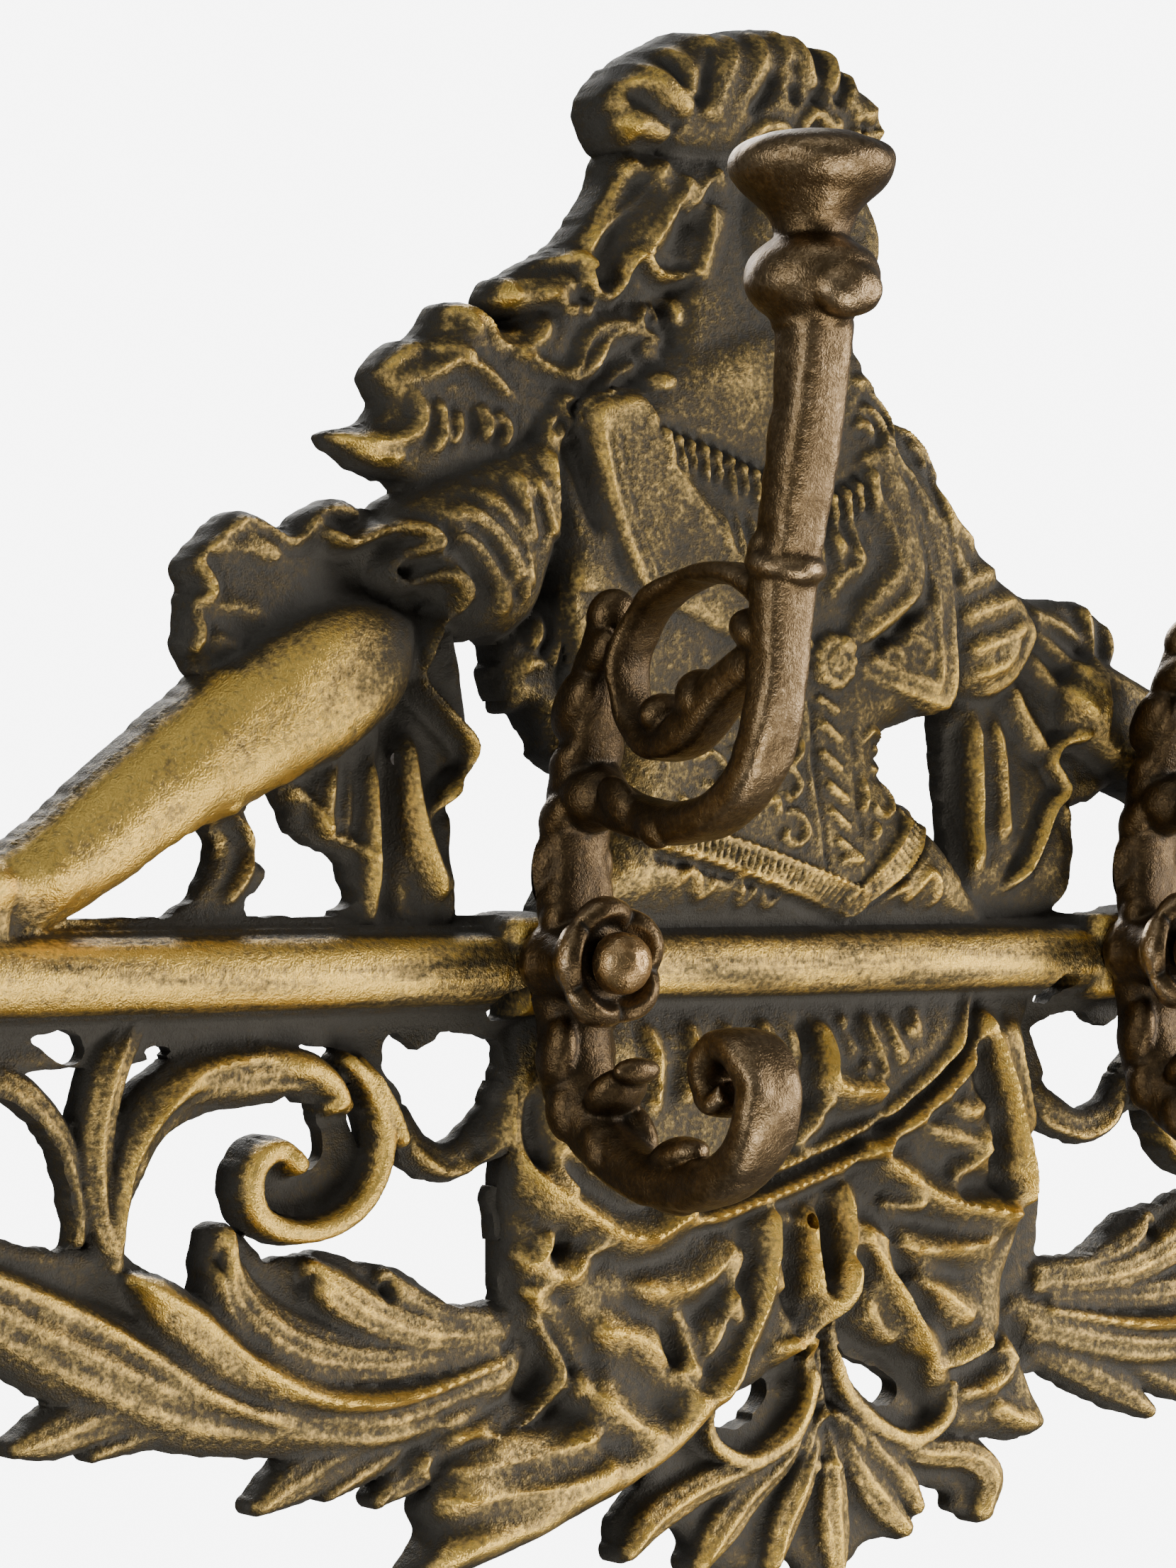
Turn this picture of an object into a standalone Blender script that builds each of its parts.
"""Cast-brass coat rack: a figure relief with a rail, acanthus scrolls and two bolted double hooks.

The back plane that lies on the wall is y = 0, the front faces -Y, +Z is up, and the origin is
on the back plane behind the middle of the rail. Outlines are written in millimetres as (x, z)
and side profiles as (out from the wall, z).
"""
import math

import bmesh
import bpy
from mathutils import Matrix

MM = 0.001
GAP = 0.3
BURIED = 8.0

# Driving dimensions, millimetres
HOOK_PITCH = 186.0
HOOK_COUNT = 2
RAIL_HALF_LENGTH = 322.0
RAIL_RADIUS = 8.2
RAIL_OUT = 8.8
WEB_THICK = 6.0
BOLT_RISE = 1.5
BOLT_RADIUS = 2.6
BOSS_FACE_OUT = 31.0
BOSS_HALF_WIDTH = 14.0
BOSS_HALF_HEIGHT = 10.0
ROSETTE_RADIUS = 15.2
ROSETTE_THICK = 5.0
BUTTON_RADIUS = 7.2
HOOK_CLEAR_HALF_WIDTH = 17.0
NUT_POCKET_RADIUS = 9.5
NUT_POCKET_DEPTH = 8.5
CASTING_VOXEL = 1.3
CASTING_KEEP = 0.012
HOOK_VOXEL = 0.9
HOOK_KEEP = 0.0115
TURN_STEPS = 12

# Sizes that follow from the driving dimensions
RAIL_FRONT_OUT = RAIL_OUT + RAIL_RADIUS
BOSS_BACK_OUT = RAIL_FRONT_OUT + GAP
ROSETTE_BACK_OUT = BOSS_FACE_OUT + GAP
BOLT_HOLE_RADIUS = BOLT_RADIUS + GAP
HOOK_PLACES = [(index - (HOOK_COUNT - 1) / 2) * HOOK_PITCH for index in range(HOOK_COUNT)]

BRASS = (0.52, 0.38, 0.19)
BRONZE = (0.30, 0.21, 0.13)
STEEL = (0.42, 0.41, 0.39)


# ---------------------------------------------------------------- scene and materials

def clear_scene():
    for thing in list(bpy.data.objects):
        bpy.data.objects.remove(thing, do_unlink=True)
    for collection in list(bpy.data.collections):
        bpy.data.collections.remove(collection)


def new_collection(name):
    collection = bpy.data.collections.new(name)
    bpy.context.scene.collection.children.link(collection)
    return collection


def metal(name, colour, roughness):
    material = bpy.data.materials.new(name)
    material.use_nodes = True
    shader = material.node_tree.nodes["Principled BSDF"]
    shader.inputs["Base Color"].default_value = (*colour, 1.0)
    shader.inputs["Metallic"].default_value = 1.0
    shader.inputs["Roughness"].default_value = roughness
    return material


clear_scene()
PARTS = new_collection("figure_coat_rack")
CUTTERS = new_collection("cutters")


# ---------------------------------------------------------------- modelling helpers

def mesh_from_curve(curve_object):
    """The curve's closed mesh, in world space, in a new object that takes the curve's place."""
    graph = bpy.context.evaluated_depsgraph_get()
    mesh = bpy.data.meshes.new_from_object(curve_object.evaluated_get(graph))
    mesh.transform(curve_object.matrix_world)
    name = curve_object.name
    bpy.data.objects.remove(curve_object, do_unlink=True)
    return weld(name, mesh)


def weld(name, mesh):
    work = bmesh.new()
    work.from_mesh(mesh)
    bmesh.ops.remove_doubles(work, verts=work.verts, dist=0.00002)
    bmesh.ops.recalc_face_normals(work, faces=work.faces)
    work.to_mesh(mesh)
    work.free()
    mesh.name = name
    piece = bpy.data.objects.new(name, mesh)
    CUTTERS.objects.link(piece)
    piece.hide_render = True
    piece.display_type = "WIRE"
    return piece


def relief(name, points, height, edge=0.0, smooth=True):
    """A body with this outline, from behind the back plane out to its height.

    The edge is the width of the slope round a broad body; slender outlines have straight sides.
    """
    curve = bpy.data.curves.new(name, "CURVE")
    curve.dimensions = "2D"
    curve.fill_mode = "BOTH"
    curve.resolution_u = 2
    behind = BURIED + height / 10.0
    depth = height + behind
    curve.extrude = (depth / 2.0 - edge) * MM
    curve.bevel_depth = edge * MM
    curve.bevel_resolution = 0
    curve.offset = -edge * MM
    add_closed_spline(curve, points, smooth)
    piece = bpy.data.objects.new(name, curve)
    CUTTERS.objects.link(piece)
    piece.rotation_euler = (math.pi / 2.0, 0.0, 0.0)
    piece.location = (0.0, -(depth / 2.0 - behind) * MM, 0.0)
    bpy.context.view_layer.update()
    return mesh_from_curve(piece)


def add_closed_spline(curve, points, smooth):
    if smooth:
        spline = curve.splines.new("BEZIER")
        spline.bezier_points.add(len(points) - 1)
        for place, (x, z) in zip(spline.bezier_points, points):
            place.co = (x * MM, z * MM, 0.0)
            place.handle_left_type = "AUTO"
            place.handle_right_type = "AUTO"
    else:
        spline = curve.splines.new("POLY")
        spline.points.add(len(points) - 1)
        for place, (x, z) in zip(spline.points, points):
            place.co = (x * MM, z * MM, 0.0, 1.0)
    spline.use_cyclic_u = True


def tube(name, path, radii, wide=1.0, sides=2, steps=2):
    """A tapered round bar along (x, out, z) points; wide stretches its section along X."""
    curve = bpy.data.curves.new(name, "CURVE")
    curve.dimensions = "3D"
    curve.resolution_u = steps
    curve.bevel_depth = MM
    curve.bevel_resolution = sides
    curve.use_fill_caps = True
    spline = curve.splines.new("BEZIER")
    spline.bezier_points.add(len(path) - 1)
    for place, (x, out, z), radius in zip(spline.bezier_points, path, radii):
        place.co = (x * MM / wide, -out * MM, z * MM)
        place.handle_left_type = "AUTO"
        place.handle_right_type = "AUTO"
        place.radius = radius
    piece = bpy.data.objects.new(name, curve)
    piece.scale = (wide, 1.0, 1.0)
    CUTTERS.objects.link(piece)
    bpy.context.view_layer.update()
    return mesh_from_curve(piece)


def turned(name, profile, place, upright=False):
    """A body turned from (radius, height) points, top first, about -Y or, when upright, +Z."""
    mesh = bpy.data.meshes.new(name)
    points = [(radius * MM, 0.0, height * MM) for radius, height in profile]
    mesh.from_pydata(points, [(i, i + 1) for i in range(len(points) - 1)], [])
    piece = bpy.data.objects.new(name, mesh)
    CUTTERS.objects.link(piece)
    screw = piece.modifiers.new("turn", "SCREW")
    screw.steps = TURN_STEPS
    screw.render_steps = TURN_STEPS
    screw.use_merge_vertices = True
    screw.merge_threshold = 0.00005
    if not upright:
        piece.rotation_euler = (math.pi / 2.0, 0.0, 0.0)
    piece.location = (place[0] * MM, -place[1] * MM, place[2] * MM)
    bpy.context.view_layer.update()
    return mesh_from_curve(piece)


def round_body(name, place, size):
    """A ball stretched to half-sizes (x, out, z), centred at (x, out, z)."""
    work = bmesh.new()
    bmesh.ops.create_uvsphere(work, u_segments=12, v_segments=8, radius=MM)
    mesh = bpy.data.meshes.new(name)
    work.to_mesh(mesh)
    work.free()
    mesh.transform(Matrix.Diagonal((size[0], size[1], size[2], 1.0)))
    mesh.transform(Matrix.Translation((place[0] * MM, -place[1] * MM, place[2] * MM)))
    return weld(name, mesh)


def block(name, low, high):
    """A box between two (x, out, z) corners."""
    work = bmesh.new()
    bmesh.ops.create_cube(work, size=1.0)
    mesh = bpy.data.meshes.new(name)
    work.to_mesh(mesh)
    work.free()
    size = [abs(high[i] - low[i]) * MM for i in range(3)]
    centre = [(high[i] + low[i]) / 2.0 * MM for i in range(3)]
    mesh.transform(Matrix.Diagonal((*size, 1.0)))
    mesh.transform(Matrix.Translation((centre[0], -centre[1], centre[2])))
    return weld(name, mesh)


def peg(name, x, z, radius, out_from, out_to, sides=16):
    """A cylinder along Y from one distance out from the wall to another."""
    work = bmesh.new()
    bmesh.ops.create_cone(work, cap_ends=True, segments=sides, radius1=radius * MM,
                          radius2=radius * MM, depth=(out_to - out_from) * MM)
    mesh = bpy.data.meshes.new(name)
    work.to_mesh(mesh)
    work.free()
    mesh.transform(Matrix.Rotation(math.pi / 2.0, 4, "X"))
    middle = (out_to + out_from) / 2.0
    mesh.transform(Matrix.Translation((x * MM, -middle * MM, z * MM)))
    return weld(name, mesh)


def evaluated_mesh(piece):
    bpy.context.view_layer.update()
    graph = bpy.context.evaluated_depsgraph_get()
    return bpy.data.meshes.new_from_object(piece.evaluated_get(graph))


def cast_together(name, bodies, voxel, keep):
    """Overlapping bodies flowed into one soft-edged solid, with about this share of its faces."""
    work = bmesh.new()
    for body in bodies:
        work.from_mesh(body.data)
    mesh = bpy.data.meshes.new(name)
    work.to_mesh(mesh)
    work.free()
    piece = bpy.data.objects.new(name, mesh)
    CUTTERS.objects.link(piece)
    piece.hide_render = True
    piece.display_type = "WIRE"
    flow = piece.modifiers.new("flow", "REMESH")
    flow.mode = "VOXEL"
    flow.voxel_size = voxel * MM
    thin = piece.modifiers.new("thin", "DECIMATE")
    thin.ratio = keep
    thin.use_collapse_triangulate = True
    solid = evaluated_mesh(piece)
    bpy.data.objects.remove(piece, do_unlink=True)
    return weld(name, solid)


def cut(name, first, removed):
    """The first body less the removed ones, as a mesh."""
    for other in removed:
        step = first.modifiers.new(other.name, "BOOLEAN")
        step.operation = "DIFFERENCE"
        step.solver = "EXACT"
        step.object = other
    mesh = evaluated_mesh(first)
    first.modifiers.clear()
    work = bmesh.new()
    work.from_mesh(mesh)
    bmesh.ops.remove_doubles(work, verts=work.verts, dist=0.00001)
    bmesh.ops.dissolve_degenerate(work, edges=work.edges, dist=0.00001)
    loose = [edge for edge in work.edges if not edge.link_faces]
    bmesh.ops.delete(work, geom=loose, context="EDGES")
    work.to_mesh(mesh)
    work.free()
    mesh.name = name
    return mesh


def place_part(name, mesh, material, place=(0.0, 0.0, 0.0), parent=None):
    """A named part of the rack, its place given as (x, out, z)."""
    part = bpy.data.objects.new(name, mesh)
    PARTS.objects.link(part)
    part.location = (place[0] * MM, -place[1] * MM, place[2] * MM)
    if parent:
        part.parent = parent
    if not mesh.materials:
        mesh.materials.append(material)
    mesh.shade_smooth()
    mesh.set_sharp_from_angle(angle=math.radians(35.0))
    return part


# ---------------------------------------------------------------- the casting: figure

TORSO = [(-60, 150), (-76, 136), (-93, 128), (-98, 106), (-96, 84), (-84, 68), (-78, 50), (-84, 30),
         (-92, 6), (-40, 4), (40, 6), (30, 26), (17, 38), (8, 50), (10, 56), (24, 61), (27, 76),
         (31, 92), (34, 106), (26, 122), (12, 131), (6, 140), (-2, 152), (-30, 160)]
CAP = [(-72, 190), (-79, 201), (-70, 211), (-52, 221), (-28, 225), (-8, 219), (3, 211), (7, 202),
       (2, 193), (-18, 190), (-46, 186)]
HEAD = [(-46, 190), (-48, 168), (-38, 154), (-14, 148), (2, 153), (9, 164), (8, 180), (3, 194),
        (-20, 198)]
VEIL = [(-56, 196), (-72, 190), (-80, 178), (-92, 166), (-104, 158), (-98, 150), (-76, 152),
        (-56, 156), (-44, 172), (-44, 190)]
HAIR_LEFT = [(-104, 149), (-117, 152), (-125, 146), (-132, 141), (-141, 133), (-138, 125),
             (-152, 119), (-142, 112), (-128, 108), (-104, 116), (-82, 124), (-62, 138),
             (-58, 154), (-88, 160)]
HAIR_RIGHT = [(-8, 138), (8, 137), (20, 131), (29, 121), (18, 110), (2, 116), (-10, 126)]
SLEEVE_LEFT = [(-92, 126), (-112, 116), (-128, 110), (-140, 101), (-134, 88), (-116, 75),
               (-104, 76), (-94, 92)]
TAIL_LEFT = [(-90, 88), (-106, 76), (-108, 64), (-100, 58), (-92, 50), (-80, 46), (-78, 70)]
CUFF_LEFT = [(-190, 88), (-178, 101), (-164, 98), (-150, 106), (-138, 102), (-126, 90), (-116, 70),
             (-113, 50), (-119, 38), (-118, 8), (-147, 8), (-149, 24), (-158, 27), (-166, 40),
             (-178, 56), (-189, 70)]
RUFFLE_LEFT = [(-186, 42), (-184, 34), (-182, 22), (-193, 8), (-172, 8), (-167, 21), (-172, 32),
               (-174, 42)]
SLEEVE_RIGHT = [(20, 126), (28, 116), (38, 105), (56, 91), (58, 78), (46, 66), (34, 66), (24, 80),
                (14, 106)]
CUFF_RIGHT = [(54, 91), (80, 91), (94, 79), (92, 71), (104, 66), (98, 50), (86, 40), (77, 35),
              (77, 24), (68, 8), (37, 8), (33, 62), (42, 76)]
SKIRT = [(-100, 6), (-102, -20), (-106, -50), (-104, -74), (-92, -84), (-86, -98), (-100, -105),
         (-120, -108), (-128, -124), (-133, -141), (-110, -136), (-80, -128), (-60, -119),
         (-42, -106), (-20, -97), (-4, -86), (8, -94), (33, -102), (48, -96), (50, -80),
         (56, -68), (63, -54), (62, -36), (57, -16), (54, 6)]
LAP_RIGHT = [(20, -92), (34, -102), (52, -92), (61, -102), (69, -119), (58, -122), (36, -120),
             (26, -106)]

FOREARM_LEFT = [(-150, 8, 66), (-178, 8, 53), (-206, 8, 36), (-232, 9, 17)]
FOREARM_RIGHT = [(84, 8, 62), (120, 8, 48), (154, 8, 30), (180, 9, 15)]
FOREARM_RADII = [15.5, 14.0, 10.5, 8.5]


def figure_bodies():
    """Every overlapping body of the woman who holds the rail."""
    bodies = [relief("torso", TORSO, 22.0, 5.0)]
    bodies.append(relief("cap", CAP, 23.0, 6.0))
    bodies.append(round_body("head", (-20.0, 9.0, 172.0), (27.0, 14.0, 25.0)))
    bodies.append(relief("face_ground", HEAD, 10.0))
    bodies.append(relief("veil", VEIL, 16.0))
    bodies.append(relief("hair_left", HAIR_LEFT, 14.0))
    bodies.append(relief("hair_right", HAIR_RIGHT, 24.0))
    bodies.append(relief("sleeve_left", SLEEVE_LEFT, 20.0, 5.0))
    bodies.append(relief("jacket_tail", TAIL_LEFT, 14.0))
    bodies.append(relief("cuff_left", CUFF_LEFT, 12.0, 4.0))
    bodies.append(relief("ruffle_left", RUFFLE_LEFT, 8.0))
    bodies.append(relief("sleeve_right", SLEEVE_RIGHT, 20.0))
    bodies.append(relief("cuff_right", CUFF_RIGHT, 12.0))
    bodies.append(relief("skirt", SKIRT, 19.0, 5.0))
    bodies.append(relief("skirt_lap", LAP_RIGHT, 10.0))
    bodies.append(tube("forearm_left", FOREARM_LEFT, FOREARM_RADII))
    bodies.append(tube("forearm_right", FOREARM_RIGHT, FOREARM_RADII))
    for wrist in (FOREARM_LEFT[-1], FOREARM_RIGHT[-1]):
        hand = (wrist[0] + math.copysign(3.0, wrist[0]), 11.0, 5.0)
        bodies.append(round_body("hand", hand, (12.0, 10.0, 13.0)))
    return bodies


# ---------------------------------------------------------------- the casting: scrolls

OUTER_SCROLL_SIZE = 0.8
SCROLL_FAR_X = 316.0
RIGHT_SCROLL_STRETCH = 1.177
LEAF = [(-88, -79), (-116, -77), (-136, -66), (-152, -62), (-170, -62), (-178, -56), (-186, -58),
        (-187, -70), (-198, -64), (-212, -58), (-226, -57), (-240, -54), (-262, -54), (-282, -44),
        (-296, -28), (-304, -8), (-316, -8), (-314, -34), (-300, -56), (-282, -68), (-262, -74),
        (-238, -78), (-222, -86), (-232, -98), (-214, -103), (-190, -101), (-167, -106),
        (-171, -118), (-144, -113), (-138, -120), (-124, -114), (-108, -106), (-84, -104)]
CREST = [(-250, 6), (-256, 17), (-268, 26), (-276, 20), (-290, 33), (-298, 22), (-312, 20),
         (-320, 6)]
SCROLL = [(-205, -64), (-207, -48), (-203, -32), (-190, -20), (-170, -16), (-152, -21), (-141, -34),
          (-142, -46), (-152, -55), (-165, -56), (-174, -49), (-172, -41), (-165, -40)]
SCROLL_WIDTHS = [4.5, 4.5, 4.5, 5.0, 5.0, 5.0, 4.5, 4.5, 4.5, 4.5, 4.5, 4.5, 5.0]
STEM = [(-211, -60), (-216, -36), (-212, -14), (-208, 4), (-200, 4), (-204, -16), (-209, -36),
        (-203, -60)]
LINK = [(-146, 2), (-150, -20), (-138, -36), (-127, -46), (-112, -44), (-100, -34), (-98, -24),
        (-108, -34), (-120, -36), (-130, -28), (-140, -14), (-136, 2)]
PALMETTE = [(-8, -84), (-14, -96), (-26, -96), (-46, -108), (-60, -118), (-72, -130),
            (-66, -140), (-54, -137), (-42, -144), (-20, -146), (-6, -151), (6, -148),
            (22, -141), (26, -132), (36, -135), (46, -140), (54, -132), (48, -120), (36, -106),
            (18, -94), (0, -84)]
PALMETTE_HOLES = [[(-25, -100), (-38, -103), (-44, -110), (-33, -111), (-26, -106)],
                  [(-5, -93), (6, -98), (18, -103), (17, -109), (8, -109), (-1, -101)]]


def scroll(name, side, size, shift_x, shift_z):
    """A C-scroll bar along its spine, scaled, moved and turned to its side of the rack."""
    path = [(side_x(x * size + shift_x, side), 4.0, z * size + shift_z) for x, z in SCROLL]
    return tube(name, path, [width * size for width in SCROLL_WIDTHS])


def side_x(x, side):
    """Where a left-hand x goes on this side: the right skirt is narrower, so its scrolls reach in."""
    if side < 0:
        return x
    return SCROLL_FAR_X - (SCROLL_FAR_X + x) * RIGHT_SCROLL_STRETCH


def scroll_bodies(side):
    """The acanthus scrollwork under the rail on one side; side is -1 on the left."""
    def face(points):
        moved = [(side_x(x, side), z) for x, z in points]
        return moved if side < 0 else moved[::-1]

    word = "left" if side < 0 else "right"
    bodies = [relief("leaf_" + word, face(LEAF), 9.0)]
    bodies.append(relief("crest_" + word, face(CREST), 7.0))
    bodies.append(scroll("scroll_" + word, side, 1.0, 0.0, 0.0))
    bodies.append(relief("stem_" + word, face(STEM), 8.0))
    bodies.append(relief("link_" + word, face(LINK), 6.0))
    bodies.append(scroll("outer_scroll_" + word, side, OUTER_SCROLL_SIZE, -104.0, -4.0))
    return bodies


def rail_bodies():
    """The half-sunk round rail, its flange and its bead-and-ball ends."""
    along = [(x, RAIL_OUT, 0.0) for x in (-RAIL_HALF_LENGTH, 0.0, RAIL_HALF_LENGTH)]
    web = [(-318, -11.5), (318, -11.5), (318, 11.5), (-318, 11.5)]
    bodies = [tube("rail", along, [RAIL_RADIUS] * 3, sides=4, steps=1)]
    bodies.append(relief("web", web, WEB_THICK, smooth=False))
    for side in (-1, 1):
        end = side * RAIL_HALF_LENGTH
        ball = (end + side * 4.0, RAIL_OUT, 0.0)
        bodies.append(round_body("rail_end", ball, (10.0, 8.6, 10.5)))
    return bodies


def casting_mesh():
    """The whole brass casting: relief, rail and scrolls, hollow behind and bored for its bolts."""
    bodies = figure_bodies() + scroll_bodies(-1) + scroll_bodies(1)
    bodies.append(relief("palmette", PALMETTE, 9.0))
    bodies += rail_bodies()
    cuts = [block("behind", (-400, -30, -300), (400, 0, 300))]
    for hole in PALMETTE_HOLES:
        cuts.append(relief("hole", hole, 40.0))
    for x in HOOK_PLACES:
        cuts.append(peg("bolt_hole", x, BOLT_RISE, BOLT_HOLE_RADIUS, -5.0, 40.0))
        cuts.append(peg("nut_pocket", x, BOLT_RISE, NUT_POCKET_RADIUS, -5.0, NUT_POCKET_DEPTH))
        low = (x - HOOK_CLEAR_HALF_WIDTH, RAIL_FRONT_OUT - 0.2, -62.0)
        cuts.append(block("hook_room", low, (x + HOOK_CLEAR_HALF_WIDTH, 60.0, 100.0)))
    cuts += hanger_pockets()
    flowed = cast_together("casting_body", bodies, CASTING_VOXEL, CASTING_KEEP)
    return cut("figure_casting", flowed, cuts)


# ---------------------------------------------------------------- wall hangers

HANGER_X = (-135.0, 72.0)
HANGER_Z = 60.0
HANGER_HALF_WIDTH = 10.0
HANGER_HALF_HEIGHT = 17.0
HANGER_THICK = 2.0
HANGER_INSET = 0.3
SCREW_OFFSET = 12.5
SCREW_RADIUS = 1.5


def hanger_pockets():
    """Recesses for the hanger plates, the room behind their keyholes, and the screw holes."""
    cuts = []
    deep = HANGER_INSET + HANGER_THICK + GAP
    for x in HANGER_X:
        low = (x - HANGER_HALF_WIDTH - GAP, -5.0, HANGER_Z - HANGER_HALF_HEIGHT - GAP)
        high = (x + HANGER_HALF_WIDTH + GAP, deep, HANGER_Z + HANGER_HALF_HEIGHT + GAP)
        cuts.append(block("plate_recess", low, high))
        cuts.append(block("keyhole_room", (x - 6.0, -5.0, HANGER_Z - 8.0),
                          (x + 6.0, deep + 4.0, HANGER_Z + 8.0)))
        for side in (-1, 1):
            z = HANGER_Z + side * SCREW_OFFSET
            cuts.append(peg("screw_hole", x, z, SCREW_RADIUS + GAP, -5.0, deep + 6.0, 12))
    return cuts


def hanger_mesh():
    """A keyhole plate: the screw head enters low and the neck slides up into the slot."""
    low = (-HANGER_HALF_WIDTH, HANGER_INSET, HANGER_Z - HANGER_HALF_HEIGHT)
    high = (HANGER_HALF_WIDTH, HANGER_INSET + HANGER_THICK, HANGER_Z + HANGER_HALF_HEIGHT)
    cuts = [peg("head_hole", 0.0, HANGER_Z - 3.0, 4.5, -5.0, 10.0)]
    cuts.append(block("neck_slot", (-2.2, -5.0, HANGER_Z - 3.0), (2.2, 10.0, HANGER_Z + 5.0)))
    for side in (-1, 1):
        z = HANGER_Z + side * SCREW_OFFSET
        cuts.append(peg("screw_way", 0.0, z, SCREW_RADIUS + GAP, -5.0, 10.0, 12))
    return cut("hanger_plate", block("hanger_plate_body", low, high), cuts)


def hanger_screw_mesh():
    """One plate screw, driven in until its end lies flush with the plate."""
    screw = peg("screw", 0.0, 0.0, SCREW_RADIUS, HANGER_INSET, HANGER_THICK + 6.0, 12)
    return screw.data


# ---------------------------------------------------------------- hooks

COAT_ARM = [(0, 24, 4), (0, 19, -12), (0, 22, -26), (0, 32, -38), (0, 46, -45), (0, 62, -47),
            (0, 77, -43), (0, 86, -33), (0, 86, -22), (0, 78, -15), (0, 69, -16), (0, 65, -23),
            (0, 71, -28)]
COAT_RADII = [8.0, 8.0, 7.5, 7.0, 6.5, 6.0, 5.6, 5.4, 5.0, 4.6, 4.2, 3.8, 3.2]
BACK_BAR = [(0, 24, -4), (0, 18, 14), (0, 17, 30), (0, 22, 44), (0, 27, 58), (0, 29, 72),
            (0, 34, 80)]
BACK_RADII = [8.0, 8.0, 7.5, 7.0, 6.5, 6.0, 4.0]
HAT_ARM = [(0, 22, 42), (0, 38, 36), (0, 55, 33), (0, 71, 35), (0, 84, 45), (0, 90, 60),
           (0, 91, 76), (0, 93, 90), (0, 97, 106), (0, 100, 122), (0, 102, 136), (0, 103, 146)]
HAT_RADII = [5.0, 5.5, 5.6, 6.0, 6.4, 6.6, 6.6, 6.8, 7.0, 7.2, 7.4, 7.4]
CURL = [(0, 91, 80), (0, 78, 87), (0, 62, 87), (0, 48, 81), (0, 39, 70), (0, 41, 58),
        (0, 52, 51), (0, 62, 55), (0, 72, 64), (0, 86, 68)]
CURL_RADII = [4.0, 3.6, 3.4, 3.4, 3.4, 3.6, 4.4, 5.6, 5.0, 4.0]
COLLAR_PROFILE = [(0.0, 160.0), (7.5, 159.0), (13.5, 153.0), (14.8, 148.0), (12.0, 142.0),
                  (7.0, 138.0), (0.0, 137.0)]
KNOB_PROFILE = [(0.0, 180.5), (9.0, 179.6), (15.5, 177.0), (18.0, 173.8), (17.0, 170.5),
                (13.0, 166.0), (8.5, 161.0), (7.0, 157.0), (0.0, 156.0)]
KNOB_OUT = 102.0


def hook_mesh():
    """One double hook in its own frame: X = 0 is its middle plane, heights are the rack's."""
    boss_profile = [(0.0, BOSS_FACE_OUT), (9.0, BOSS_FACE_OUT), (9.8, 26.0), (10.0, BOSS_BACK_OUT),
                    (0.0, BOSS_BACK_OUT)]
    boss = turned("boss", boss_profile, (0.0, 0.0, BOLT_RISE))
    boss.data.transform(Matrix.Diagonal((BOSS_HALF_WIDTH / BOSS_HALF_HEIGHT, 1.0, 1.0, 1.0)))
    bodies = [tube("coat_arm", COAT_ARM, COAT_RADII, wide=1.25)]
    bodies.append(tube("back_bar", BACK_BAR, BACK_RADII, wide=1.1))
    bodies.append(tube("hat_arm", HAT_ARM, HAT_RADII, wide=1.0))
    bodies.append(tube("curl", CURL, CURL_RADII, wide=1.3))
    bodies.append(turned("collar", COLLAR_PROFILE, (0.0, KNOB_OUT, 0.0), upright=True))
    bodies.append(turned("knob", KNOB_PROFILE, (0.0, KNOB_OUT, 0.0), upright=True))
    bodies.append(round_body("bud", (0.0, 40.0, -26.0), (6.0, 9.0, 7.0)))
    bodies.append(round_body("knuckle", (0.0, 93.0, 88.0), (8.4, 9.6, 5.5)))
    bodies.append(round_body("tip", (0.0, 55.0, -50.0), (5.0, 7.0, 4.0)))
    back_side = block("rail_side", (-40, -20, -200), (40, BOSS_BACK_OUT, 300))
    face_side = block("rosette_seat", (-16.0, BOSS_FACE_OUT, -14.5), (16.0, 45.0, 18.0))
    hole = peg("hole", 0.0, BOLT_RISE, BOLT_HOLE_RADIUS, 0.0, 60.0)
    flowed = cast_together("hook_body", [boss] + bodies, HOOK_VOXEL, HOOK_KEEP)
    return cut("double_hook", flowed, [back_side, face_side, hole])


def rosette_mesh():
    """A five-petalled cupped washer, bored for the bolt."""
    petals = []
    count = 35
    for index in range(count):
        angle = 2.0 * math.pi * index / count
        radius = ROSETTE_RADIUS * (0.93 + 0.07 * math.cos(5.0 * (angle - 0.5)))
        petals.append((radius * math.cos(angle), BOLT_RISE + radius * math.sin(angle)))
    low = ROSETTE_BACK_OUT
    body = relief("rosette_body", petals, low + ROSETTE_THICK, 1.6, smooth=False)
    behind = block("rosette_back", (-30, -30, -30), (30, low, 30))
    bowl_profile = [(0.0, 60.0), (12.0, 60.0), (11.5, low + 5.0), (9.0, low + 3.4),
                    (0.0, low + 3.4)]
    bowl = turned("bowl", bowl_profile, (0.0, 0.0, BOLT_RISE))
    hole = peg("hole", 0.0, BOLT_RISE, BOLT_HOLE_RADIUS, 0.0, 60.0)
    return cut("rosette", body, [behind, bowl, hole])


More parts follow.
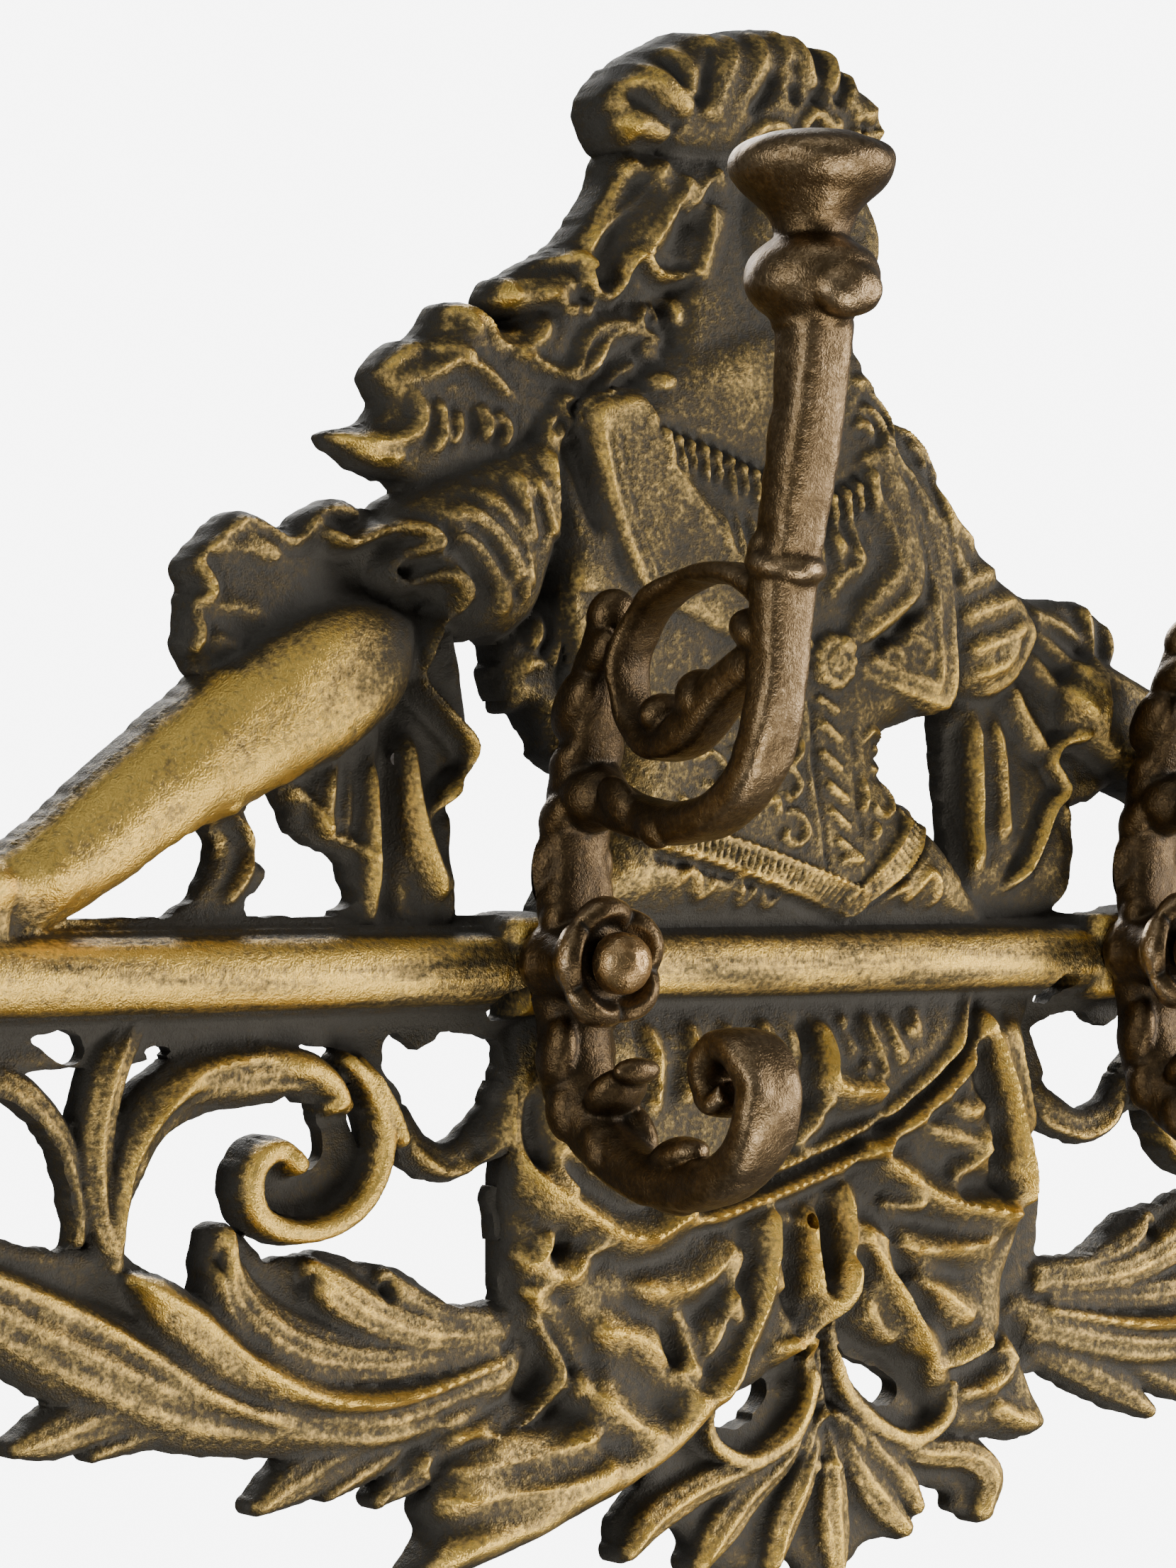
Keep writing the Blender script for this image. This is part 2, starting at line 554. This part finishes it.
def bolt_mesh():
    """Domed button head and plain shank, turned in one."""
    seat = ROSETTE_BACK_OUT + 3.4 + GAP
    crown = seat + 8.0
    dome = [(BUTTON_RADIUS * math.sin(step * math.pi / 10.0),
             crown - 5.5 * (1.0 - math.cos(step * math.pi / 10.0))) for step in range(6)]
    profile = dome + [(BUTTON_RADIUS, seat), (BOLT_RADIUS, seat), (BOLT_RADIUS, 0.8), (0.0, 0.8)]
    return cut("bolt", turned("bolt_body", profile, (0.0, 0.0, BOLT_RISE)), [])


def ring_mesh(name, radius, out_from, out_to, sides):
    """A washer or a nut on the bolt: a flat ring with this many sides."""
    body = peg(name + "_body", 0.0, BOLT_RISE, radius, out_from, out_to, sides)
    hole = peg(name + "_hole", 0.0, BOLT_RISE, BOLT_HOLE_RADIUS, out_from - 5.0, out_to + 5.0)
    return cut(name, body, [hole])


# ---------------------------------------------------------------- assembly

def build():
    brass = metal("cast_brass", BRASS, 0.38)
    bronze = metal("hook_brass", BRONZE, 0.34)
    polished = metal("button_brass", BRASS, 0.26)
    steel = metal("dark_steel", STEEL, 0.5)

    place_part("figure_casting", casting_mesh(), brass)
    hanger = hanger_mesh()
    screw = hanger_screw_mesh()
    for word, x in zip(("left", "right"), HANGER_X):
        place_part("hanger_plate_" + word, hanger, steel, (x, 0.0, 0.0))
        place_part("upper_screw_" + word, screw, steel, (x, 0.0, HANGER_Z + SCREW_OFFSET))
        place_part("lower_screw_" + word, screw, steel, (x, 0.0, HANGER_Z - SCREW_OFFSET))

    washer_top = NUT_POCKET_DEPTH - GAP
    washer_back = washer_top - 1.5
    nut_top = washer_back - GAP
    hook = hook_mesh()
    rosette = rosette_mesh()
    bolt = bolt_mesh()
    washer = ring_mesh("washer", 7.5, washer_back, washer_top, 16)
    nut = ring_mesh("nut", 5.8, nut_top - 4.5, nut_top, 6)
    for number, x in enumerate(HOOK_PLACES, start=1):
        stand = bpy.data.objects.new("hook_place_" + str(number), None)
        PARTS.objects.link(stand)
        stand.location = (x * MM, 0.0, 0.0)
        place_part("double_hook_" + str(number), hook, bronze, parent=stand)
        place_part("rosette_" + str(number), rosette, bronze, parent=stand)
        place_part("bolt_" + str(number), bolt, polished, parent=stand)
        place_part("washer_" + str(number), washer, steel, parent=stand)
        place_part("nut_" + str(number), nut, steel, parent=stand)


build()
